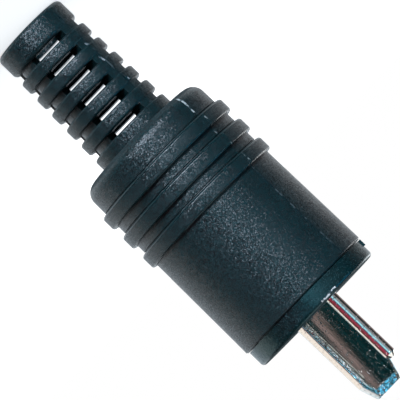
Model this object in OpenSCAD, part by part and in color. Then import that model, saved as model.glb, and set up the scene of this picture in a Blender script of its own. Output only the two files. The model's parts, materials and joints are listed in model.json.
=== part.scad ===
// Two-pole loudspeaker plug. A soft hood runs into a slotted bend relief, and a contact carrier
// pushes into the hood with a flat blade and a round pin, each with a screw terminal inside.
// The plug stands on its cable end: the origin is the centre of the mating face, +Z leaves that
// face, and the pin is on the front side, towards -Y. All sizes are in millimetres.

/* [Hood] */
// Outside diameter at the front edge
hood_front_d = 15.7; // [15.3:0.1:17]
// Outside diameter at the rear shoulder
hood_rear_d = 15.2; // [14.6:0.1:15.7]
// Length from the rear shoulder to the front edge
hood_len = 22.3; // [20:0.1:28]
// Rounding of the rear shoulder
shoulder_r = 1.35; // [0.4:0.05:2]
// Chamfer around the front edge
hood_edge = 0.12; // [0.05:0.01:0.4]
// Diameter of the bore that takes the carrier
hood_bore_d = 12.7; // [12:0.1:13.4]
// Lead-in chamfer at the mouth of that bore
mouth_chamfer = 0.3; // [0.1:0.05:0.6]
// Thickness of the wall behind the wiring space
rear_wall = 1.6; // [1:0.1:3]

/* [Grip rings] */
// Outside diameter of the raised rings
ring_d = 16.4; // [16:0.1:18]
// Width of one ring along the plug
ring_w = 1.55; // [0.8:0.05:2.2]
// Distance from one ring to the next
ring_pitch = 2.67; // [2.3:0.01:4]
// Distance from the shoulder to the first ring
ring_start = 3.05; // [2:0.05:5]
// Number of rings
ring_count = 3; // [1:1:5]
// Rounding of the ring edges
ring_edge_r = 0.25; // [0.05:0.05:0.35]

/* [Bend relief] */
// Outside diameter of the end collar
collar_d = 8.4; // [7.6:0.1:10]
// Length of the end collar
collar_len = 2.6; // [1.5:0.1:5]
// Rounding of the end collar's edges
collar_edge_r = 0.5; // [0.1:0.05:0.7]
// Outside diameter of the rib next to the shoulder
last_rib_d = 9.35; // [8.4:0.05:11]
// Number of ribs between the collar and the shoulder
rib_count = 6; // [2:1:9]
// Width of one rib along the plug
rib_w = 1.37; // [0.8:0.01:2.5]
// Rounding of the rib edges
rib_edge_r = 0.25; // [0.05:0.05:0.35]
// Width of the groove between two ribs
groove_w = 0.71; // [0.4:0.01:1.5]
// Depth of that groove
groove_depth = 0.78; // [0.3:0.01:0.9]
// Angle that each window in a groove spans
window_angle = 66; // [30:1:100]
// Turn of the windows from the pin's side of the plug
window_turn = 35; // [0:1:180]
// Width of the two webs that join the ribs along the bend relief
web_w = 2.6; // [1:0.1:4]
// Distance of the webs below the top of the ribs
web_drop = 0.08; // [0.05:0.01:0.3]
// Turn of the webs from the pin's side of the plug
web_turn = -11; // [-90:1:90]
// Diameter of the bore that takes the cable
cable_d = 4.9; // [4:0.1:5.4]

/* [Carrier] */
// Diameter of the flange
flange_d = 15.2; // [14:0.1:16]
// Thickness of the flange
flange_t = 1.9; // [1.4:0.1:3]
// Rounding of the flange's front edge
flange_edge_r = 0.4; // [0.1:0.05:0.8]
// Open seam between the flange and the hood
seam_gap = 0.1; // [0:0.01:0.3]
// Length of the spigot that fills the hood's bore
spigot_len = 5; // [3:0.1:7]
// Radial clearance of the spigot in the hood's bore
spigot_fit = 0.05; // [0.02:0.01:0.2]
// Lead-in chamfer at the rear of the spigot
spigot_chamfer = 0.35; // [0.1:0.05:0.8]
// Thickness of the face that the thin end of the pin passes
front_web = 1.2; // [0.8:0.1:2]
// Length of the wiring tray behind the spigot
tray_len = 10.6; // [9.5:0.1:12]
// Wall of the tray
tray_wall = 1.1; // [0.7:0.1:1.6]
// Thickness of the floor that the blade's tail lies on
tray_floor = 1.5; // [0.8:0.1:2]
// Height of the tray's sides past the plug's axis
tray_rise = 0.4; // [0:0.1:2]
// Radial gap from the tray to the hood's bore
tray_gap = 0.35; // [0.2:0.05:0.8]
// Clearance of the contacts in the carrier
contact_fit = 0.02; // [0.01:0.01:0.08]
// Width of the gate mark on the flange's rim
gate_w = 1.1; // [0.5:0.1:2]
// Length of the gate mark along the plug
gate_len = 0.75; // [0.4:0.05:1.2]
// Height of the gate mark over the rim
gate_h = 0.2; // [0.05:0.05:0.4]
// Turn of the gate mark from the pin's side of the plug
gate_turn = 55; // [0:1:180]

/* [Blade] */
// Width of the blade
blade_w = 4.7; // [3.6:0.1:5.6]
// Thickness of the blade
blade_t = 1.15; // [0.8:0.05:1.5]
// Length of the blade in front of the mating face
blade_len = 10.25; // [8:0.05:14]
// Distance of the blade's middle behind the plug's axis
blade_drop = 1.1; // [0.6:0.05:1.6]
// Width left at the blade's tip
blade_tip_w = 3.2; // [2:0.1:3.6]
// Length of the tip's slanted corners
blade_tip_len = 2; // [0.5:0.1:4]
// Thickness left at the blade's tip
blade_tip_t = 0.5; // [0.2:0.05:0.8]
// Length of the bevels on the tip's two faces
blade_bevel_len = 0.8; // [0.3:0.1:2]
// Width of the tail that bears on the back of the spigot
tail_w = 5.8; // [5.6:0.1:7]
// Distance from the tail's end to the end of the tray
tail_setback = 0.5; // [0.1:0.1:1]
// Corner cut at the end of the tail
tail_corner = 0.8; // [0.2:0.1:1.4]

/* [Pin] */
// Diameter of the pin
pin_d = 1.3; // [1:0.05:1.6]
// Length of the pin in front of the mating face
pin_len = 8.3; // [6:0.1:11]
// Chamfer at the tip of the pin
pin_chamfer = 0.4; // [0.1:0.05:0.45]
// Distance of the pin in front of the plug's axis
pin_rise = 3.15; // [2.9:0.05:3.5]
// Extra radius of the pin's root inside the flange
pin_root = 0.25; // [0.2:0.05:0.3]
// Diameter of the shank inside the spigot
shank_d = 2.2; // [2:0.1:2.8]
// Diameter of the wire barrel
barrel_d = 3.6; // [3.2:0.1:4]
// Length of the wire barrel
barrel_len = 5.3; // [4.4:0.1:5.5]
// Diameter of the hole for the wire
wire_d = 1.8; // [1.2:0.1:2.2]
// Depth of the hole for the wire
wire_depth = 4.4; // [3.4:0.1:5]

/* [Terminal screws] */
// Thread diameter of the blade's screw
screw_d = 2.5; // [2:0.1:3]
// Length of that screw under its head
screw_len = 2.9; // [2.4:0.1:3.6]
// Diameter of its head
head_d = 4.2; // [3.6:0.1:4.4]
// Height of its head
head_h = 1.4; // [1:0.1:1.7]
// Rounding of its head
head_edge_r = 0.3; // [0.1:0.05:0.5]
// Distance from the end of the blade's tail to this screw
screw_setback = 2.1; // [1.8:0.1:2.4]
// Width of the square clamp washer
washer_w = 4.3; // [3.8:0.1:4.6]
// Thickness of the clamp washer
washer_t = 0.5; // [0.3:0.05:0.8]
// Thread diameter of the pin's grub screw
grub_d = 2; // [1.6:0.1:2.4]
// Length of the grub screw
grub_len = 2.2; // [1.6:0.1:2.6]
// Height of the grub screw over the barrel
grub_proud = 0.5; // [0.1:0.05:0.7]
// Width of the driver slot in both screws
slot_w = 0.5; // [0.3:0.05:0.8]
// Depth of the driver slot in both screws
slot_depth = 0.7; // [0.4:0.05:0.9]
// Radial clearance of the screws in their threads
thread_fit = 0.05; // [0.02:0.01:0.1]
// Gap under the screw head and under the washer
seat_fit = 0.02; // [0.01:0.01:0.1]
// Radial clearance of the hole in the tray and in the washer
through_fit = 0.15; // [0.1:0.05:0.3]

/* [Hidden] */
$fn = 96;
// Spare length that a cut runs past the face it opens
over = 1;

// Stations along the plug, counted from the mating face
hood_front_z = -flange_t - seam_gap;
shoulder_z = hood_front_z - hood_len;
cavity_z = shoulder_z + rear_wall;
rib_pitch = rib_w + groove_w;
collar_front_z = shoulder_z - rib_count * rib_pitch;
cable_end_z = collar_front_z - collar_len;
spigot_z = -flange_t - spigot_len;
tray_z = spigot_z - tray_len;
tail_z = tray_z + tail_setback;
screw_z = tail_z + screw_setback;
grub_z = spigot_z - barrel_len / 2;

// Radii and heights that follow from the sizes
spigot_r = hood_bore_d / 2 - spigot_fit;
tray_r = hood_bore_d / 2 - tray_gap;
blade_top_y = -blade_drop + blade_t / 2;
blade_low_y = -blade_drop - blade_t / 2;
floor_y = blade_low_y - contact_fit;
washer_y = blade_top_y + seat_fit;
head_y = washer_y + washer_t + seat_fit;
grub_top_y = pin_rise + barrel_d / 2 + grub_proud;

// Radius of the bend relief at rib number i, where 0 is the collar
function rib_r(i) = (collar_d + (last_rib_d - collar_d) * i / rib_count) / 2;

// Turns a piece that was drawn with the pin's side towards +Y, so that this side is the front
module pin_forward() {
    rotate(180) children();
}

// Half outline of a band from z0 to z1, with both outer edges rounded
module band(r, z0, z1, edge_r) {
    translate([0, z0]) square([r - edge_r, z1 - z0]);
    translate([0, z0 + edge_r]) square([r, z1 - z0 - 2 * edge_r]);
    for (z = [z0 + edge_r, z1 - edge_r])
        translate([r - edge_r, z]) circle(edge_r);
}

// Half outline of the grip body, a slight cone with a rounded shoulder
module grip_outline() {
    rear_r = hood_rear_d / 2;
    front_r = hood_front_d / 2;
    slope = (front_r - rear_r) / hood_len;
    slant = sqrt(1 + slope * slope);
    centre_r = rear_r + shoulder_r * (slope - slant);
    centre_z = shoulder_z + shoulder_r;
    polygon([
        [0, shoulder_z],
        [centre_r, shoulder_z],
        [centre_r + shoulder_r / slant, centre_z - shoulder_r * slope / slant],
        [front_r - slope * hood_edge, hood_front_z - hood_edge],
        [front_r - hood_edge, hood_front_z],
        [0, hood_front_z]
    ]);
    translate([centre_r, centre_z]) circle(shoulder_r);
}

module rings_outline() {
    for (i = [0 : ring_count - 1]) {
        z = shoulder_z + ring_start + i * ring_pitch;
        band(ring_d / 2, z, z + ring_w, ring_edge_r);
    }
}

// Half outline of a plain cone under the ribs, the given depth below their tops
module under_ribs(depth) {
    rear_z = collar_front_z - collar_len / 2;
    front_z = shoulder_z + rear_wall / 2;
    polygon([
        [0, rear_z],
        [rib_r(0) - depth, rear_z],
        [rib_r(rib_count) - depth, front_z],
        [0, front_z]
    ]);
}

// Half outline of the bend relief: its collar, its ribs and the core between them
module relief_outline() {
    band(rib_r(0), cable_end_z, collar_front_z, collar_edge_r);
    for (i = [1 : rib_count]) {
        z = collar_front_z + i * rib_pitch - rib_w;
        sunk = i == rib_count ? rear_wall / 2 : 0;
        band(rib_r(i), z, z + rib_w + sunk, rib_edge_r);
    }
    under_ribs(groove_depth);
}

// The two webs on opposite sides of the bend relief, which bridge its grooves
module web_pair() {
    intersection() {
        rotate_extrude() under_ribs(web_drop);
        rotate(web_turn) translate([-web_w / 2, -last_rib_d, cable_end_z])
            cube([web_w, 2 * last_rib_d, cavity_z - cable_end_z]);
    }
}

// Cuts one pair of opposite windows, whose sides run towards the axis
module window_pair() {
    reach = last_rib_d;
    rise = tan(window_angle / 2);
    waist = cable_d / 4;
    waist_y = waist * rise;
    linear_extrude(groove_w) polygon([
        [-waist_y, waist], [-reach * rise, reach], [reach * rise, reach], [waist_y, waist],
        [waist_y, -waist], [reach * rise, -reach], [-reach * rise, -reach], [-waist_y, -waist]
    ]);
}

module hood() {
    color("#1c2023") pin_forward() difference() {
        union() {
            rotate_extrude() {
                grip_outline();
                rings_outline();
                relief_outline();
            }
            web_pair();
        }
        translate([0, 0, cable_end_z - over])
            cylinder(d = cable_d, h = cavity_z - cable_end_z + 2 * over);
        translate([0, 0, cavity_z])
            cylinder(d = hood_bore_d, h = hood_front_z - cavity_z + over);
        translate([0, 0, hood_front_z - mouth_chamfer])
            cylinder(r1 = hood_bore_d / 2, r2 = hood_bore_d / 2 + mouth_chamfer + over,
                h = mouth_chamfer + over);
        for (i = [0 : rib_count - 1])
            translate([0, 0, collar_front_z + i * rib_pitch]) rotate(window_turn) window_pair();
    }
}

// Half outline of the carrier's round front: the flange and its spigot
module carrier_outline() {
    flange_r = flange_d / 2;
    translate([0, -flange_t]) square([flange_r, flange_t - flange_edge_r]);
    translate([0, -flange_t]) square([flange_r - flange_edge_r, flange_t]);
    translate([flange_r - flange_edge_r, -flange_edge_r]) circle(flange_edge_r);
    polygon([
        [0, spigot_z],
        [spigot_r - spigot_chamfer, spigot_z],
        [spigot_r, spigot_z + spigot_chamfer],
        [spigot_r, -flange_t / 2],
        [0, -flange_t / 2]
    ]);
}

// Section of the wiring tray: a trough with a floor across it
module tray_section() {
    difference() {
        circle(tray_r);
        circle(tray_r - tray_wall);
        translate([-tray_r - over, tray_rise]) square([2 * (tray_r + over), tray_r + over]);
    }
    intersection() {
        circle(tray_r - tray_wall / 2);
        translate([-tray_r, floor_y - tray_floor]) square([2 * tray_r, tray_floor]);
    }
}

module contact_carrier() {
    slot_size = [blade_w + 2 * contact_fit, blade_t + 2 * contact_fit];
    color("#15181b") pin_forward() difference() {
        union() {
            rotate_extrude() carrier_outline();
            translate([0, 0, tray_z]) linear_extrude(tray_len + spigot_len / 2) tray_section();
            rotate(-gate_turn) translate([-gate_w / 2, flange_d / 2 - gate_w, -flange_t])
                cube([gate_w, gate_w + gate_h, gate_len]);
        }
        translate([-slot_size[0] / 2, -blade_drop - slot_size[1] / 2, spigot_z - over])
            cube([slot_size[0], slot_size[1], over - spigot_z + over]);
        translate([0, pin_rise, -front_web - over])
            cylinder(r = pin_d / 2 + pin_root + contact_fit, h = front_web + 2 * over);
        translate([0, pin_rise, spigot_z - over])
            cylinder(r = shank_d / 2 + contact_fit, h = -front_web - spigot_z + over);
        translate([0, floor_y + over, screw_z]) rotate([90, 0, 0])
            cylinder(r = screw_d / 2 + through_fit, h = tray_floor + 2 * over);
    }
}

module blade_contact() {
    shoulder = spigot_z - contact_fit;
    color("#c9c6bf") pin_forward() difference() {
        intersection() {
            // Plan: the blade, the wider tail and the slanted tip
            translate([0, blade_top_y, 0]) rotate([90, 0, 0]) linear_extrude(blade_t) polygon([
                [-blade_tip_w / 2, blade_len],
                [blade_tip_w / 2, blade_len],
                [blade_w / 2, blade_len - blade_tip_len],
                [blade_w / 2, shoulder],
                [tail_w / 2, shoulder],
                [tail_w / 2, tail_z + tail_corner],
                [tail_w / 2 - tail_corner, tail_z],
                [tail_corner - tail_w / 2, tail_z],
                [-tail_w / 2, tail_z + tail_corner],
                [-tail_w / 2, shoulder],
                [-blade_w / 2, shoulder],
                [-blade_w / 2, blade_len - blade_tip_len]
            ]);
            // Side: full thickness, bevelled on both faces at the tip
            translate([-tail_w, -blade_drop, 0]) rotate([90, 0, 90])
                linear_extrude(2 * tail_w) polygon([
                    [-blade_tip_t / 2, blade_len],
                    [blade_tip_t / 2, blade_len],
                    [blade_t / 2, blade_len - blade_bevel_len],
                    [blade_t / 2, tail_z - over],
                    [-blade_t / 2, tail_z - over],
                    [-blade_t / 2, blade_len - blade_bevel_len]
                ]);
        }
        translate([0, blade_top_y + over, screw_z]) rotate([90, 0, 0])
            cylinder(r = screw_d / 2 + thread_fit, h = blade_t + 2 * over);
    }
}

module pin_contact() {
    pin_r = pin_d / 2;
    root_r = pin_r + pin_root;
    barrel_z = spigot_z - contact_fit;
    color("#c9c6bf") pin_forward() translate([0, pin_rise, 0]) difference() {
        rotate_extrude() polygon([
            [0, barrel_z - barrel_len],
            [barrel_d / 2, barrel_z - barrel_len],
            [barrel_d / 2, barrel_z],
            [shank_d / 2, barrel_z],
            [shank_d / 2, -front_web - contact_fit],
            [root_r, -front_web - contact_fit],
            [root_r, 0],
            [pin_r, 0],
            [pin_r, pin_len - pin_chamfer],
            [pin_r - pin_chamfer, pin_len],
            [0, pin_len]
        ]);
        translate([0, 0, barrel_z - barrel_len - over]) cylinder(d = wire_d, h = wire_depth + over);
        translate([0, 0, grub_z]) rotate([-90, 0, 0])
            cylinder(r = grub_d / 2 + thread_fit, h = barrel_d);
    }
}

module wire_clamp_washer() {
    color("#b9b8b4") pin_forward() translate([0, washer_y, screw_z]) rotate([-90, 0, 0])
        linear_extrude(washer_t) difference() {
            square(washer_w, center = true);
            circle(screw_d / 2 + through_fit);
        }
}

module blade_terminal_screw() {
    color("#a9aaac") pin_forward() translate([0, head_y, screw_z]) rotate([-90, 0, 0]) difference() {
        rotate_extrude() {
            translate([0, -screw_len]) square([screw_d / 2, screw_len + head_h / 2]);
            square([head_d / 2, head_h - head_edge_r]);
            square([head_d / 2 - head_edge_r, head_h]);
            translate([head_d / 2 - head_edge_r, head_h - head_edge_r]) circle(head_edge_r);
        }
        translate([-head_d, -slot_w / 2, head_h - slot_depth])
            cube([2 * head_d, slot_w, slot_depth + over]);
    }
}

module pin_terminal_screw() {
    color("#a9aaac") pin_forward() translate([0, grub_top_y - grub_len, grub_z]) rotate([-90, 0, 0])
        difference() {
            cylinder(d = grub_d, h = grub_len);
            translate([-grub_d, -slot_w / 2, grub_len - slot_depth])
                cube([2 * grub_d, slot_w, slot_depth + over]);
        }
}

hood();
contact_carrier();
blade_contact();
pin_contact();
wire_clamp_washer();
blade_terminal_screw();
pin_terminal_screw();
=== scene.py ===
import json
from math import cos, pi, radians, sin, tan

import bpy
from mathutils import Matrix, Vector

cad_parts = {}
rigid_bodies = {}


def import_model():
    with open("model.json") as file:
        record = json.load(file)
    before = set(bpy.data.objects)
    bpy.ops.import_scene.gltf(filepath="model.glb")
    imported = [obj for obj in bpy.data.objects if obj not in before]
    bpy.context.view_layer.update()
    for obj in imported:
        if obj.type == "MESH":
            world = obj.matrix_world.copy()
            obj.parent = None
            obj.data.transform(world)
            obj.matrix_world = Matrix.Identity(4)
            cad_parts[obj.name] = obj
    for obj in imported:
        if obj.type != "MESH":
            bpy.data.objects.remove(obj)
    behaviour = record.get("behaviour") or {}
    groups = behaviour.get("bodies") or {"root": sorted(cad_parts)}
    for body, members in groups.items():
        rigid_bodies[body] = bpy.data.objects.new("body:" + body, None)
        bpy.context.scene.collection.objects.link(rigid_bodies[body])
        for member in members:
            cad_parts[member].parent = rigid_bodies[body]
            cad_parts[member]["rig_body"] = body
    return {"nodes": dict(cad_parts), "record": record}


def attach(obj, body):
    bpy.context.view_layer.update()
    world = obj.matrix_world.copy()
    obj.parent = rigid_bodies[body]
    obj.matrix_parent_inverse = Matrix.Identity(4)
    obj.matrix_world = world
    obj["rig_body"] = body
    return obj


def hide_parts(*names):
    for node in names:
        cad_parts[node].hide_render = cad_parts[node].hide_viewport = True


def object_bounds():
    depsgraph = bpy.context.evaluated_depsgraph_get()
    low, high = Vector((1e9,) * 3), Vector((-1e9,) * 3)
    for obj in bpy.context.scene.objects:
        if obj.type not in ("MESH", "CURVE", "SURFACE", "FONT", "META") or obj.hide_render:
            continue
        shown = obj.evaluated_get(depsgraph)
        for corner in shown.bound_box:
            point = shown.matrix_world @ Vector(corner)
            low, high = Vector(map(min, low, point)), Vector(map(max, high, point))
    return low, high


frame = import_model()
cadBox = [list(corner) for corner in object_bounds()]
nodes = frame["nodes"]
mm = 0.001  # every size below is written in millimetres
print("frame loaded:", len(nodes), "pieces")

scene = bpy.context.scene
scene.view_settings.view_transform = "Standard"


class Strand:
    # one socket of a node tree; sums, differences and products of strands add Math nodes
    def __init__(self, tree, socket=None):
        self.tree = tree
        self.socket = socket

    def node(self, kind, settings, values, output=0):
        # any node, with its own settings, and strands or constants for its inputs
        made = self.tree.nodes.new(kind)
        for name, setting in settings.items():
            if name == "stops":
                fillRamp(made.color_ramp, setting)
            else:
                setattr(made, name, setting)
        for name, value in values.items():
            if isinstance(value, Strand):
                self.tree.links.new(value.socket, made.inputs[name])
            else:
                made.inputs[name].default_value = value
        return Strand(self.tree, made.outputs[output])

    def maths(self, operation, first, second=0.0):
        return self.node("ShaderNodeMath", {"operation": operation}, {0: first, 1: second})

    def dot(self, other):
        return self.node("ShaderNodeVectorMath", {"operation": "DOT_PRODUCT"}, {0: self, 1: other}, "Value")

    def blend(self, first, second):
        # colour that runs from the first to the second as this strand goes from 0 to 1
        return self.node("ShaderNodeMix", {"data_type": "RGBA"}, {"Factor": self, 6: first, 7: second}, 2)

    def spread(self, low, high, first=0.0, last=1.0):
        # value that runs smoothly from first to last as this strand goes from low to high
        ends = {"Value": self, "From Min": low, "From Max": high, "To Min": first, "To Max": last}
        return self.node("ShaderNodeMapRange", {"interpolation_type": "SMOOTHSTEP"}, ends)

    def __add__(self, other):
        return self.maths("ADD", self, other)

    def __sub__(self, other):
        return self.maths("SUBTRACT", self, other)

    def __rsub__(self, other):
        return self.maths("SUBTRACT", other, self)

    def __mul__(self, other):
        return self.maths("MULTIPLY", self, other)

    __radd__ = __add__
    __rmul__ = __mul__


def fillRamp(ramp, stops):
    while len(ramp.elements) < len(stops):
        ramp.elements.new(1.0)
    for element, (position, shade) in zip(ramp.elements, stops):
        element.position = position
        element.color = (*shade, 1.0)


def newFinish(name):
    finish = bpy.data.materials.new(name)
    finish.use_nodes = True
    return finish, Strand(finish.node_tree)


def setShader(finish, values):
    shader = finish.node_tree.nodes["Principled BSDF"]
    for name, value in values.items():
        if isinstance(value, Strand):
            finish.node_tree.links.new(value.socket, shader.inputs[name])
        else:
            shader.inputs[name].default_value = value


def coordinates(strand, kind):
    return strand.node("ShaderNodeTexCoord", {}, {}, kind)


def axisOf(vector, axis):
    return vector.node("ShaderNodeSeparateXYZ", {}, {"Vector": vector}, axis)


def noiseAt(spot, scale, detail):
    # scale counts the lumps in a metre
    return spot.node("ShaderNodeTexNoise", {}, {"Vector": spot, "Scale": scale, "Detail": detail}, "Fac")


def bumpOf(height, strength=1.0, distance=1.0):
    heights = {"Strength": strength, "Distance": distance, "Height": height}
    return height.node("ShaderNodeBump", {}, heights, "Normal")


def facets(strand, spot, size):
    # cells of the given size, each a small plane that leans its own way: a chance from 0 to 1, and a height
    sizes = {"Vector": spot, "Scale": 1 / (size * mm)}
    cells = strand.node("ShaderNodeTexVoronoi", {}, sizes, "Color")
    middles = strand.node("ShaderNodeTexVoronoi", {}, sizes, "Position")
    chance = strand.node("ShaderNodeSeparateColor", {}, {"Color": cells}, "Red")
    lean = strand.node("ShaderNodeVectorMath", {"operation": "SUBTRACT"}, {0: cells, 1: (0.5, 0.5, 0.5)})
    inCell = strand.node("ShaderNodeVectorMath", {"operation": "SUBTRACT"}, {0: spot, 1: middles})
    return chance, inCell.dot(lean) * 2.0


def rayIs(strand, way):
    return strand.node("ShaderNodeLightPath", {}, {}, "Is " + way + " Ray")


# Studio: the photograph's direction, the lamps and the paper and cards that stand round the plug

view = {
    "turn": 35.0,  # degrees round the plug from its front
    "rise": 2.5,  # degrees above level
    "roll": 134.0,  # degrees that the camera is rolled, so that the contacts point down to the right
    "distance": 534.0,
    "lens": 493.5,
    "sight": 10000.0,  # how far the camera sees
    "aim": (0.21, 0.14, -15.76),  # point of the plug in the middle of the picture
}


def lookFrom(turn, rise):
    level = cos(radians(rise))
    return Vector((sin(radians(turn)) * level, -cos(radians(turn)) * level, sin(radians(rise))))


def addCamera(place):
    data = bpy.data.cameras.new("photoCamera")
    data.lens = place["lens"]
    data.clip_end = place["sight"] * mm
    camera = bpy.data.objects.new("photoCamera", data)
    scene.collection.objects.link(camera)
    toCamera = lookFrom(place["turn"], place["rise"])
    spot = (Vector(place["aim"]) + toCamera * place["distance"]) * mm
    swing = Matrix.Rotation(radians(place["turn"]), 4, "Z")
    nod = Matrix.Rotation(radians(90 - place["rise"]), 4, "X")
    roll = Matrix.Rotation(radians(place["roll"]), 4, "Z")
    camera.matrix_world = Matrix.Translation(spot) @ (swing @ nod) @ roll
    scene.camera = camera


addCamera(view)

# turn and rise as for the camera, width and height in degrees seen from the plug, glow against white paper
lamps = {
    "key": {"turn": 26.5, "rise": -34.0, "width": 58.0, "height": 20.0, "glow": 16.0,
            "tint": (0.91, 0.95, 1.06)},
    "upper": {"turn": -32.0, "rise": 39.0, "width": 32.0, "height": 30.0, "glow": 2.2,
              "tint": (0.05, 0.50, 0.86)},
    "overhead": {"turn": 35.0, "rise": 84.0, "width": 50.0, "height": 50.0, "glow": 1.2,
                 "tint": (1.0, 0.98, 0.95)},
    "back": {"turn": 235.0, "rise": 30.0, "width": 34.0, "height": 34.0, "glow": 2.5,
             "tint": (1.0, 1.0, 1.0)},
}
lampDistance = 420.0


def addLamp(name, lamp):
    data = bpy.data.lights.new(name, "AREA")
    data.shape = "ELLIPSE"
    data.size = 2 * lampDistance * tan(radians(lamp["width"] / 2)) * mm
    data.size_y = 2 * lampDistance * tan(radians(lamp["height"] / 2)) * mm
    # watts: the glow times pi times the ellipse's area
    data.energy = lamp["glow"] * pi * pi * data.size * data.size_y / 4
    data.color = lamp["tint"]
    holder = bpy.data.objects.new(name, data)
    scene.collection.objects.link(holder)
    toLamp = lookFrom(lamp["turn"], lamp["rise"])
    holder.location = (Vector(view["aim"]) + toLamp * lampDistance) * mm
    holder.rotation_euler = toLamp.to_track_quat("Z", "Y").to_euler()
    holder.visible_camera = False


for lampName, lamp in lamps.items():
    addLamp(lampName, lamp)

surround = {
    # cards at the plug's own height, by degrees from the camera round towards the pin's edge of the blade
    "ring": (
        (-180, (0.84, 0.95, 1.05)), (-128, (0.86, 0.93, 1.00)), (-118, (1.05, 0.96, 0.88)),
        (-94, (1.03, 0.94, 0.86)), (-84, (0.12, 0.06, 0.05)), (-74, (0.10, 0.03, 0.03)),
        (-60, (0.22, 0.035, 0.05)), (-36, (0.40, 0.05, 0.08)), (-22, (0.34, 0.05, 0.10)),
        (-12, (0.12, 0.05, 0.08)), (-4, (0.06, 0.14, 0.21)), (4, (0.18, 0.70, 0.90)),
        (12, (0.70, 1.05, 1.15)), (19, (0.30, 0.85, 1.00)), (25, (0.22, 0.44, 0.54)),
        (32, (0.26, 0.36, 0.42)), (46, (0.34, 0.36, 0.39)), (56, (0.26, 0.25, 0.25)),
        (63, (0.25, 0.19, 0.183)), (66.9, (0.26, 0.193, 0.187)), (67.4, (0.004, 0.028, 0.032)),
        (95, (0.003, 0.020, 0.024)), (99, (0.12, 0.075, 0.07)), (118, (0.19, 0.12, 0.115)),
        (134, (0.42, 0.37, 0.36)), (155, (0.80, 0.83, 0.86)), (180, (0.84, 0.95, 1.05)),
    ),
    # the same above and below that ring
    "dome": (
        (-180, (0.94, 1.05, 1.12)), (-128, (0.98, 1.03, 1.08)), (-108, (0.92, 0.95, 0.97)),
        (-98, (0.40, 0.42, 0.44)), (-86, (0.04, 0.04, 0.04)), (-70, (0.00, 0.01, 0.01)),
        (-10, (0.01, 0.02, 0.02)), (0, (0.60, 0.80, 0.90)), (24, (0.60, 0.80, 0.90)),
        (38, (0.02, 0.03, 0.035)), (94, (0.003, 0.020, 0.024)), (112, (0.08, 0.082, 0.085)),
        (134, (0.42, 0.43, 0.44)), (155, (0.80, 0.83, 0.86)), (180, (0.84, 0.95, 1.05)),
    ),
    "above": (0.015, 0.02, 0.022, 1.0),
    "ringEnds": (0.07, 0.15),  # height, on a ball of radius 1, over which the ring gives way to the dome
    "domeEnds": (0.36, 0.58),  # and the dome to what is above it
    "ambient": (0.10, 0.105, 0.11, 1.0),  # what matt surfaces get from all sides
    "white": (1.0, 1.0, 1.0, 1.0),
}


def addSurround(recipe):
    world = bpy.data.worlds.new("studio")
    scene.world = world
    world.use_nodes = True
    world.cycles.sampling_method = "NONE"  # lets the Light Path switch below sort every ray
    strand = Strand(world.node_tree)
    direction = coordinates(strand, "Generated")
    ahead = direction.dot(lookFrom(view["turn"], 0))
    aside = direction.dot(lookFrom(view["turn"] - 90, 0))
    around = strand.maths("ARCTAN2", aside, ahead) * (0.5 / pi) + 0.5
    band = {}
    for part in ("ring", "dome"):
        stops = [(0.5 + angle / 360, shade) for angle, shade in recipe[part]]
        band[part] = strand.node("ShaderNodeValToRGB", {"stops": stops}, {"Fac": around}, "Color")
    height = direction.dot((0.0, 0.0, 1.0))
    offRing = strand.maths("ABSOLUTE", height).spread(*recipe["ringEnds"])
    cards = offRing.blend(band["ring"], band["dome"])
    cards = height.spread(*recipe["domeEnds"]).blend(cards, recipe["above"])
    lit = rayIs(strand, "Glossy").blend(recipe["ambient"], cards)
    seen = rayIs(strand, "Camera") + rayIs(strand, "Transmission")
    shown = seen.blend(lit, recipe["white"])
    world.node_tree.links.new(shown.socket, world.node_tree.nodes["Background"].inputs["Color"])


addSurround(surround)

floorSheet = {
    "size": 1200.0,
    "color": (0.86, 0.86, 0.86, 1.0),
    "roughness": 0.9,
    "dark": (0.0, 0.0, 0.0, 1.0),  # added for every ray but the camera's
    "lift": (0.66, 0.66, 0.66, 1.0),  # added for the camera near the plug, where the shadow lies
    "white": (1.0, 1.0, 1.0, 1.0),  # and further out
    "near": 60.0,
    "far": 240.0,
}


def addFloor(sheet):
    bpy.ops.object.select_all(action="DESELECT")
    bpy.ops.mesh.primitive_plane_add(size=sheet["size"] * mm, location=(0, 0, cadBox[0][2]))
    floor = bpy.context.active_object
    floor.name = "floor"
    finish, strand = newFinish("palePaper")
    spot = coordinates(strand, "Object")
    reach = strand.node("ShaderNodeVectorMath", {"operation": "LENGTH"}, {0: spot}, "Value")
    lift = reach.spread(sheet["near"] * mm, sheet["far"] * mm).blend(sheet["lift"], sheet["white"])
    setShader(finish, {"Base Color": sheet["color"], "Roughness": sheet["roughness"],
                       "Specular IOR Level": 0.0, "Emission Strength": 1.0,
                       "Emission Color": rayIs(strand, "Camera").blend(sheet["dark"], lift)})
    floor.data.materials.append(finish)
    floor.visible_glossy = False  # the plug shows the cards round it instead
    floor.visible_shadow = False  # the key lamp stands lower than the sheet and shines through it


addFloor(floorSheet)
print("studio ready")

# Finishes of the two plastics, the plated contacts and the terminals

# the hood's rings, for its finish and for the creases cut into it
hoodRings = {
    "rear": -21.25,  # where the rearmost begins
    "pitch": 2.67,
    "width": 1.55,
    "count": 3,
}

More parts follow.
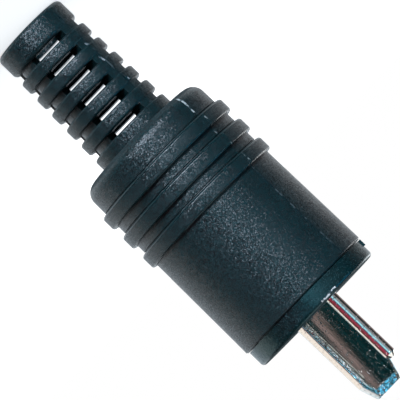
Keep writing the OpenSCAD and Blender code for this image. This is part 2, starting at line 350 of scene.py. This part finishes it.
hoodPlastic = {
    "dark": (0.0000, 0.0025, 0.0035, 1.0),
    "light": (0.0018, 0.0245, 0.0295, 1.0),
    "toneEnds": (0.15, 0.85),  # a facet's chance at its darkest and at its lightest
    "sheen": (0.86, 0.94, 1.0, 1.0),
    "shine": 0.55,
    "roughness": 0.33,
    "grain": 0.085,  # size of one facet of the mould's texture
    "tilt": 0.20,  # slope of the steepest facets
    "glint": 0.04,  # how much smoother the smoothest facets are
    "glintFrom": 0.4,  # chance above which a facet is smoother
    "clouds": 700.0,  # broad patches in a metre
    "cloudTone": 0.1,  # their share in the tone
    "cloudRough": 0.08,  # and how far they change the roughness
    "mouldTurn": -11.0,  # degrees from the plug's front to the plane between the two halves of the mould
    "outOfLine": 0.09,  # slope by which one half leans off the other
    "worn": 0.17,  # how much smoother the edges of the rings are
    "tailWear": (0.08, 0.26),  # distances from a ring's rear over which that fades
    "tipWear": (0.26, 0.10),  # and from its front over which it grows again
    "tipShare": 0.35,  # wear of the front edge against the rear one's
    "matt": 0.5,  # how much rougher the sides towards the cable are
    "tailFacing": (0.60, 0.85),  # how squarely a side faces the cable where that begins and is full
}


def makeHoodPlastic(recipe):
    finish, strand = newFinish("grainedHoodPlastic")
    spot = coordinates(strand, "Object")
    chance, facet = facets(strand, spot, recipe["grain"])
    clouds = noiseAt(spot, recipe["clouds"], detail=3.0)
    height = axisOf(spot, "Z")
    first = hoodRings["rear"] * mm
    last = first + ((hoodRings["count"] - 1) * hoodRings["pitch"] + hoodRings["width"]) * mm
    along = strand.maths("FLOORED_MODULO", height - first, hoodRings["pitch"] * mm)
    tailEdge = along.spread(*[end * mm for end in recipe["tailWear"]], 1.0, 0.0)
    tipEdge = along.spread(*[(hoodRings["width"] - end) * mm for end in recipe["tipWear"]])
    onRing = strand.maths("LESS_THAN", along, hoodRings["width"] * mm)
    among = strand.maths("GREATER_THAN", height, first) * strand.maths("LESS_THAN", height, last)
    worn = (tailEdge + tipEdge * recipe["tipShare"]) * onRing * among
    half = strand.maths("MAXIMUM", spot.dot(lookFrom(recipe["mouldTurn"] - 90, 0)), 0.0)
    relief = facet * (1.0 - worn) * recipe["tilt"] - half * recipe["outOfLine"]
    tone = chance * (1 - recipe["cloudTone"]) + clouds * recipe["cloudTone"]
    smoother = chance.spread(recipe["glintFrom"], 1.0) * recipe["glint"] + worn * recipe["worn"]
    towardsTail = coordinates(strand, "Normal").dot((0.0, 0.0, -1.0))
    tailSide = towardsTail.spread(*recipe["tailFacing"], 0.0, recipe["matt"])
    rough = recipe["roughness"] + (clouds - 0.5) * recipe["cloudRough"] - smoother + tailSide
    setShader(finish, {"Base Color": tone.spread(*recipe["toneEnds"]).blend(recipe["dark"], recipe["light"]),
                       "Roughness": rough, "Specular IOR Level": recipe["shine"],
                       "Specular Tint": recipe["sheen"], "Normal": bumpOf(relief)})
    return finish


carrierPlastic = {
    "dark": (0.0005, 0.0058, 0.0066, 1.0),
    "light": (0.0018, 0.0163, 0.0190, 1.0),
    "toneEnds": (0.3, 0.7),
    "sheen": (0.48, 0.90, 1.0, 1.0),
    "shine": 0.75,
    "roughness": 0.27,
    "ripple": 0.012,  # height of the ripples
    "fine": 3600.0,  # ripples in a metre
    "fineRough": 0.2,  # how far they change the roughness
    "broad": 700.0,  # slow waves in a metre
    "broadRise": 2.0,  # their height against the ripples'
    "broadTone": 0.7,  # their share in the tone
    "grain": 0.16,
    "tilt": 0.05,
    "matt": 0.70,  # how much rougher the face round the contacts is
    "frontFacing": (0.75, 0.97),  # how squarely a face looks forward where that begins and is full
}


def makeCarrierPlastic(recipe):
    finish, strand = newFinish("smoothCarrierPlastic")
    spot = coordinates(strand, "Object")
    fine = noiseAt(spot, recipe["fine"], detail=3.0)
    broad = noiseAt(spot, recipe["broad"], detail=2.0)
    chance, facet = facets(strand, spot, recipe["grain"])
    relief = (fine + broad * recipe["broadRise"]) * (recipe["ripple"] * mm) + facet * recipe["tilt"]
    tone = broad * recipe["broadTone"] + chance * (1 - recipe["broadTone"])
    forward = coordinates(strand, "Normal").dot((0.0, 0.0, 1.0))
    frontFace = forward.spread(*recipe["frontFacing"], 0.0, recipe["matt"])
    rough = recipe["roughness"] + (fine - 0.5) * recipe["fineRough"] + frontFace
    setShader(finish, {"Base Color": tone.spread(*recipe["toneEnds"]).blend(recipe["dark"], recipe["light"]),
                       "Roughness": rough, "Specular IOR Level": recipe["shine"],
                       "Specular Tint": recipe["sheen"], "Normal": bumpOf(relief)})
    return finish


nickelPlate = {
    "bright": (0.86, 0.85, 0.82, 1.0),
    "dull": (0.74, 0.71, 0.67, 1.0),
    "streak": (0.50, 0.52, 0.48, 1.0),  # the darkest streaks that drawing left along the flat faces
    "paintedCornerReflection": (0.42, 0.84, 0.94, 1.0),  # cyan reflection painted into the colour of the long corners' rounding
    "roughness": 0.07,
    "dullRough": 0.12,  # how much rougher the dull spots are
    "drawn": 0.06,  # how many times slower waves and streaks change along the contact
    "waves": 2600.0,  # in a metre, as pits and streaks below
    "wave": 0.0022,  # their height
    "pits": 5200.0,
    "pitRise": 0.8,  # height of the pits against the waves'
    "pitEnds": (0.5, 0.72),  # from where a pit is dull, and where fully so
    "streaks": 1900.0,
    "streakEnds": (0.42, 0.62),
    "streakFacing": (0.05, 0.20),  # how far a face may turn sideways and still have streaks
    "speck": 0.10,  # size of one rough speck of the plating
    "speckTilt": 0.24,
    "share": 0.09,  # of the surface that is specks
    "tip": (9.2, 9.6),  # heights between which the coined tip of the blade begins
    "tipTilt": 0.20,  # slope of its facets
    "tipFacing": (0.5, 0.8),
    "narrows": 8.25,  # height from which the blade narrows towards its tip
    "taper": 0.375,  # and how fast
    "rim": (1.75, 2.05),  # distances from the blade's middle between which its long corners begin
    "rimTilt": 0.17,  # slope of the facets there
    "rimFacing": (0.80, 0.95),
    "rollFrom": 1.85,  # distance from the middle at which those corners fall off
    "rimRoll": 0.20,  # and the slope by which they do
    # how far a corner's face turns sideways where the painted cyan reflection begins and where it is full
    "paintedCornerFacing": (0.08, 0.30),
}


def makeNickelPlate(recipe):
    finish, strand = newFinish("nickelPlate")
    spot = coordinates(strand, "Object")
    drawn = strand.node("ShaderNodeMapping", {}, {"Vector": spot, "Scale": (1.0, 1.0, recipe["drawn"])})
    wave = noiseAt(drawn, recipe["waves"], detail=4.0)
    pits = noiseAt(spot, recipe["pits"], detail=2.0)
    dull = pits.spread(*recipe["pitEnds"])
    chance, facet = facets(strand, spot, recipe["speck"])
    height = axisOf(spot, "Z")
    sideways = strand.maths("ABSOLUTE", axisOf(coordinates(strand, "Normal"), "X"))
    tip = height.spread(*[end * mm for end in recipe["tip"]], 0.0, recipe["tipTilt"])
    coined = tip * sideways.spread(*recipe["tipFacing"], 1.0, 0.0)
    slant = strand.maths("MAXIMUM", height - recipe["narrows"] * mm, 0.0) * recipe["taper"]
    offMiddle = strand.maths("ABSOLUTE", axisOf(spot, "X")) + slant
    rim = offMiddle.spread(*[end * mm for end in recipe["rim"]])
    rim = rim * sideways.spread(*recipe["rimFacing"], 1.0, 0.0)
    roll = rim * strand.maths("MAXIMUM", offMiddle - recipe["rollFrom"] * mm, 0.0) * recipe["rimRoll"]
    streak = noiseAt(drawn, recipe["streaks"], detail=2.0).spread(*recipe["streakEnds"])
    streak = streak * sideways.spread(*recipe["streakFacing"], 1.0, 0.0)
    rough = chance.spread(1 - recipe["share"], 1.0, 0.0, recipe["speckTilt"])
    ripple = (wave + pits * recipe["pitRise"]) * (recipe["wave"] * mm)
    relief = ripple + facet * (rough + coined + rim * recipe["rimTilt"]) - roll
    plate = streak.blend(dull.blend(recipe["bright"], recipe["dull"]), recipe["streak"])
    # painted reflection: the cyan light that the long corners' rounding reflects is painted into their
    # colour
    plate = (rim * sideways.spread(*recipe["paintedCornerFacing"])).blend(plate, recipe["paintedCornerReflection"])
    setShader(finish, {"Base Color": plate, "Metallic": 1.0, "Normal": bumpOf(relief),
                       "Roughness": recipe["roughness"] + dull * recipe["dullRough"]})
    return finish


zincSteel = {
    "bright": (0.62, 0.62, 0.60, 1.0),
    "dull": (0.42, 0.41, 0.38, 1.0),
    "dullEnds": (0.35, 0.7),
    "clouds": 1500.0,  # dull patches in a metre
    "roughness": 0.30,
    "cloudRough": 0.3,  # how far the patches change the roughness
    "pits": 9000.0,
    "pitRise": 0.004,
    "pitStrength": 0.5,
}


def makeZincSteel(recipe):
    finish, strand = newFinish("zincSteel")
    spot = coordinates(strand, "Object")
    cloud = noiseAt(spot, recipe["clouds"], detail=4.0)
    pits = noiseAt(spot, recipe["pits"], detail=2.0)
    coat = cloud.spread(*recipe["dullEnds"]).blend(recipe["bright"], recipe["dull"])
    rough = recipe["roughness"] + (cloud - 0.5) * recipe["cloudRough"]
    setShader(finish, {"Base Color": coat, "Metallic": 1.0, "Roughness": rough,
                       "Normal": bumpOf(pits, recipe["pitStrength"], recipe["pitRise"] * mm)})
    return finish


finishes = {
    "hood_plastic": makeHoodPlastic(hoodPlastic),
    "carrier_plastic": makeCarrierPlastic(carrierPlastic),
    "contact_plate": makeNickelPlate(nickelPlate),
    "terminal_steel": makeZincSteel(zincSteel),
}
slotOf = {part["node"]: part["material_slot"] for part in frame["record"]["subparts"]}
for name, node in nodes.items():
    node.data.materials.clear()
    node.data.materials.append(finishes[slotOf[name]])
print("finishes on", len(nodes), "pieces")

# Contacts, washer and screws with their edges broken, as stamped and turned parts have them

copies = {
    "merge": 0.002,  # points of a copied node that lie nearer than this become one
    "smooth": 35.0,  # degrees between neighbouring faces that are still shaded as one
}


def pickOnly(piece):
    bpy.ops.object.select_all(action="DESELECT")
    piece.select_set(True)
    bpy.context.view_layer.objects.active = piece


def copyNode(name, pieceName):
    piece = bpy.data.objects.new(pieceName, nodes[name].data.copy())
    scene.collection.objects.link(piece)
    pickOnly(piece)
    bpy.ops.mesh.customdata_custom_splitnormals_clear()
    bpy.ops.object.mode_set(mode="EDIT")
    bpy.ops.mesh.select_all(action="SELECT")
    bpy.ops.mesh.remove_doubles(threshold=copies["merge"] * mm)
    bpy.ops.object.mode_set(mode="OBJECT")
    return piece


# the blade's long corners, which its stamping rolled rounder
bladeRims = {
    "reach": 1.55,  # their least distance from the blade's middle
    "end": 9.6,  # height that they stay under
    "rise": 0.5,  # least height that an edge of them spans
    "size": 0.26,  # their rounding
    "steps": 8,
}


def roundRims(piece, recipe):
    bpy.ops.object.mode_set(mode="EDIT")
    bpy.ops.mesh.select_mode(type="EDGE")
    bpy.ops.mesh.select_all(action="DESELECT")
    bpy.ops.object.mode_set(mode="OBJECT")
    for edge in piece.data.edges:
        ends = [piece.data.vertices[index].co / mm for index in edge.vertices]
        low, high = sorted(end.z for end in ends)
        nearest = min(abs(end.x) for end in ends)
        edge.select = nearest > recipe["reach"] and 0 < high < recipe["end"] and high - low > recipe["rise"]
    bpy.ops.object.mode_set(mode="EDIT")
    bpy.ops.mesh.bevel(offset=recipe["size"] * mm, segments=recipe["steps"], affect="EDGES")
    bpy.ops.object.mode_set(mode="OBJECT")


brokenEdges = {
    "flat": 1.5,  # degrees between neighbouring faces that become one
    "steps": 8,
    # width of each piece's rounding, and the least angle of an edge that gets it
    "pieces": {"blade_contact": (0.06, 12), "pin_contact": (0.05, 25), "wire_clamp_washer": (0.05, 25),
               "blade_terminal_screw": (0.06, 25), "pin_terminal_screw": (0.05, 25)},
}


def breakEdges(name, recipe):
    width, angle = recipe["pieces"][name]
    piece = copyNode(name, name + "_worn")
    bpy.ops.object.mode_set(mode="EDIT")
    bpy.ops.mesh.select_all(action="SELECT")
    bpy.ops.mesh.dissolve_limited(angle_limit=radians(recipe["flat"]))
    bpy.ops.object.mode_set(mode="OBJECT")
    if name == "blade_contact":
        roundRims(piece, bladeRims)
    rounding = piece.modifiers.new("rounding", "BEVEL")
    rounding.width = width * mm
    rounding.segments = recipe["steps"]
    rounding.limit_method = "ANGLE"
    rounding.angle_limit = radians(angle)
    rounding.miter_outer = "MITER_ARC"
    bpy.ops.object.modifier_apply(modifier="rounding")
    bpy.ops.object.shade_smooth_by_angle(angle=radians(copies["smooth"]))
    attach(piece, nodes[name]["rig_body"])
    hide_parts(name)


for name in brokenEdges["pieces"]:
    breakEdges(name, brokenEdges)
print("edges broken on", len(brokenEdges["pieces"]), "pieces")

# Hood with the sharp crease that each ring has at its rear foot, and a shadow gap at its mouth

creases = {
    "foot": 7.614,  # radius of the hood at the foot of its rearmost ring
    "growth": 0.03,  # and how much larger it is at each next one
    "size": 0.09,  # radius of the groove there
    "mouth": (7.84, -1.99, 0.12),  # radius and height of the gap's middle, and its own radius
    "around": 160,  # faces round the plug
    "across": 10,  # and round a groove's section
}


def cutGroove(hood, radius, height, size):
    bpy.ops.object.select_all(action="DESELECT")
    bpy.ops.mesh.primitive_torus_add(major_segments=creases["around"], minor_segments=creases["across"],
                                     major_radius=radius * mm, minor_radius=size * mm,
                                     location=(0, 0, height * mm))
    cutter = bpy.context.active_object
    pickOnly(hood)
    crease = hood.modifiers.new("crease", "BOOLEAN")
    crease.operation = "DIFFERENCE"
    crease.solver = "EXACT"
    crease.object = cutter
    bpy.ops.object.modifier_apply(modifier="crease")
    pickOnly(cutter)
    bpy.ops.object.delete()


def creaseHood(recipe):
    hood = copyNode("hood", "hood_creased")
    for ring in range(hoodRings["count"]):
        radius = recipe["foot"] + ring * recipe["growth"]
        height = hoodRings["rear"] + ring * hoodRings["pitch"] - recipe["size"]
        cutGroove(hood, radius, height, recipe["size"])
    cutGroove(hood, *recipe["mouth"])
    pickOnly(hood)
    bpy.ops.object.shade_smooth_by_angle(angle=radians(copies["smooth"]))
    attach(hood, nodes["hood"]["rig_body"])
    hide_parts("hood")


creaseHood(creases)
print("creases cut at", hoodRings["count"], "rings and the mouth")

# Flash: the thin ridge left where the two halves of the hood's mould met, the slivers that stand on it, and
# two slivers on the edge of the carrier's flange

# dark as moulded and light where a highlight is painted into the colour, and the share of the strip that has
# that painted highlight
flashPlastics = {
    "plain": {"dark": (0.003, 0.015, 0.020, 1.0), "light": (0.046, 0.069, 0.077, 1.0),
              "share": 0.30, "roughness": 0.34},
    "ridge": {"dark": (0.005, 0.022, 0.026, 1.0), "light": (0.154, 0.192, 0.20, 1.0),
              "share": 0.38, "roughness": 0.34},
    "flake": {"dark": (0.006, 0.028, 0.034, 1.0), "light": (0.20, 0.246, 0.277, 1.0),
              "share": 0.50, "roughness": 0.30},
    "curl": {"dark": (0.031, 0.055, 0.062, 1.0), "light": (0.31, 0.37, 0.385, 1.0),
             "share": 0.70, "roughness": 0.30},
    "edge": {"dark": (0.031, 0.055, 0.062, 1.0), "light": (0.71, 0.75, 0.77, 1.0),
             "share": 0.40, "roughness": 0.35},
}
flashPatches = {
    "scale": 1500.0,  # patches of painted highlight in a metre
    "paintedHighlightEnds": (0.72, 0.80),  # where the painted highlight patches begin and are full with no share
    "gain": 0.5,  # how far the share lowers both
    "rough": 0.5,  # how far the patches change the roughness
}


def makeFlashPlastic(name, recipe):
    finish, strand = newFinish("flash_" + name)
    patch = noiseAt(coordinates(strand, "Object"), flashPatches["scale"], detail=2.0)
    # pale patches: a highlight painted into the flash's colour
    pale = patch.spread(*[end - recipe["share"] * flashPatches["gain"] for end in flashPatches["paintedHighlightEnds"]])
    setShader(finish, {"Base Color": pale.blend(recipe["dark"], recipe["light"]),
                       "Roughness": recipe["roughness"] + (patch - 0.5) * flashPatches["rough"]})
    return finish


flashFinish = {name: makeFlashPlastic(name, recipe) for name, recipe in flashPlastics.items()}

# what the flashes of one kind share
mouldLine = {"of": "hood", "turn": hoodPlastic["mouldTurn"], "lump": 0.9, "sides": 2}
flake = {"of": "hood", "proud": 0.05, "uneven": 0.16, "lump": 0.25, "skin": 2.7, "sides": 1,
         "finish": "flake"}
sliver = {"of": "contact_carrier", "width": 1.1, "uneven": 0.03, "lump": 0.3, "skin": 7.2, "sides": 1,
          "finish": "edge"}

# turn of the middle, width across, the heights it runs between, mean height over the surface, its
# unevenness, the length of one lump, the radius that parts the outside from the bore, and on how many sides
flashes = {
    "hood_mould_line": {**mouldLine, "width": 0.10, "from": -14.4, "to": -2.2, "proud": 0.008,
                        "uneven": 0.03, "skin": 7.0, "finish": "plain"},
    "hood_ring_line": {**mouldLine, "width": 0.11, "from": -24.0, "to": -14.4, "proud": 0.012,
                       "uneven": 0.05, "skin": 7.0, "finish": "ridge"},
    "hood_web_line": {**mouldLine, "width": 0.11, "from": -39.0, "to": -24.4, "proud": 0.008,
                      "uneven": 0.05, "skin": 2.7, "finish": "plain"},
    "hood_flash_curl": {"of": "hood", "turn": -10.5, "width": 0.17, "from": -23.9, "to": -21.9,
                        "proud": 0.035, "uneven": 0.10, "lump": 0.5, "skin": 7.0, "sides": 1,
                        "finish": "curl"},
    "hood_flash_flake_1": {**flake, "turn": -10.0, "width": 0.26, "from": -34.25, "to": -33.9},
    "hood_flash_flake_2": {**flake, "turn": -9.0, "width": 0.22, "from": -32.45, "to": -31.7},
    "hood_flash_flake_3": {**flake, "turn": -13.0, "width": 0.30, "from": -29.15, "to": -28.75},
    "carrier_flash_1": {**sliver, "turn": 25.0, "from": -0.265, "to": -0.225, "proud": 0.012},
    "carrier_flash_2": {**sliver, "turn": 17.0, "from": -0.32, "to": -0.305, "proud": 0.010},
}
flashBody = {
    "cuts": 5,  # in each edge of the surface it grows from
    "thickness": 0.12,
    "smooth": 40.0,
}


def cutStrip(strip, recipe):
    # leaves of the copied piece only the strip of its outside that the flash stands on
    across = lookFrom(recipe["turn"] + 90, 0)
    up = Vector((0, 0, 1))
    cuts = [(across * recipe["width"] / 2, across), (across * recipe["width"] / -2, -across),
            (up * recipe["to"], up), (up * recipe["from"], -up)]
    if recipe["sides"] == 1:
        cuts.append((Vector(), -lookFrom(recipe["turn"], 0)))
    bpy.ops.object.mode_set(mode="EDIT")
    for place, outward in cuts:
        bpy.ops.mesh.select_all(action="SELECT")
        bpy.ops.mesh.bisect(plane_co=place * mm, plane_no=outward, clear_outer=True)
    bpy.ops.object.mode_set(mode="OBJECT")
    for face in strip.data.polygons:
        face.select = Vector(face.center[:2]).length < recipe["skin"] * mm
    bpy.ops.object.mode_set(mode="EDIT")
    bpy.ops.mesh.select_mode(type="FACE")
    bpy.ops.mesh.delete(type="FACE")
    bpy.ops.object.mode_set(mode="OBJECT")


def raiseStrip(strip, recipe):
    # lifts the strip unevenly off the surface and gives it a body
    bpy.ops.object.mode_set(mode="EDIT")
    bpy.ops.mesh.select_all(action="SELECT")
    bpy.ops.mesh.subdivide(number_cuts=flashBody["cuts"])
    bpy.ops.transform.shrink_fatten(value=recipe["proud"] * mm)
    bpy.ops.object.mode_set(mode="OBJECT")
    lumps = bpy.data.textures.new(strip.name, "CLOUDS")
    lumps.noise_scale = recipe["lump"] * mm
    uneven = strip.modifiers.new("uneven", "DISPLACE")
    uneven.texture = lumps
    uneven.strength = recipe["uneven"] * mm
    bpy.ops.object.modifier_apply(modifier="uneven")
    body = strip.modifiers.new("body", "SOLIDIFY")
    body.thickness = flashBody["thickness"] * mm
    body.offset = -1.0
    bpy.ops.object.modifier_apply(modifier="body")
    bpy.ops.object.shade_smooth_by_angle(angle=radians(flashBody["smooth"]))


def addFlash(name, recipe):
    strip = copyNode(recipe["of"], name)
    cutStrip(strip, recipe)
    raiseStrip(strip, recipe)
    strip.data.materials.clear()
    strip.data.materials.append(flashFinish[recipe["finish"]])
    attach(strip, nodes[recipe["of"]]["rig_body"])


for name, recipe in flashes.items():
    addFlash(name, recipe)
print("flash added in", len(flashes), "places")
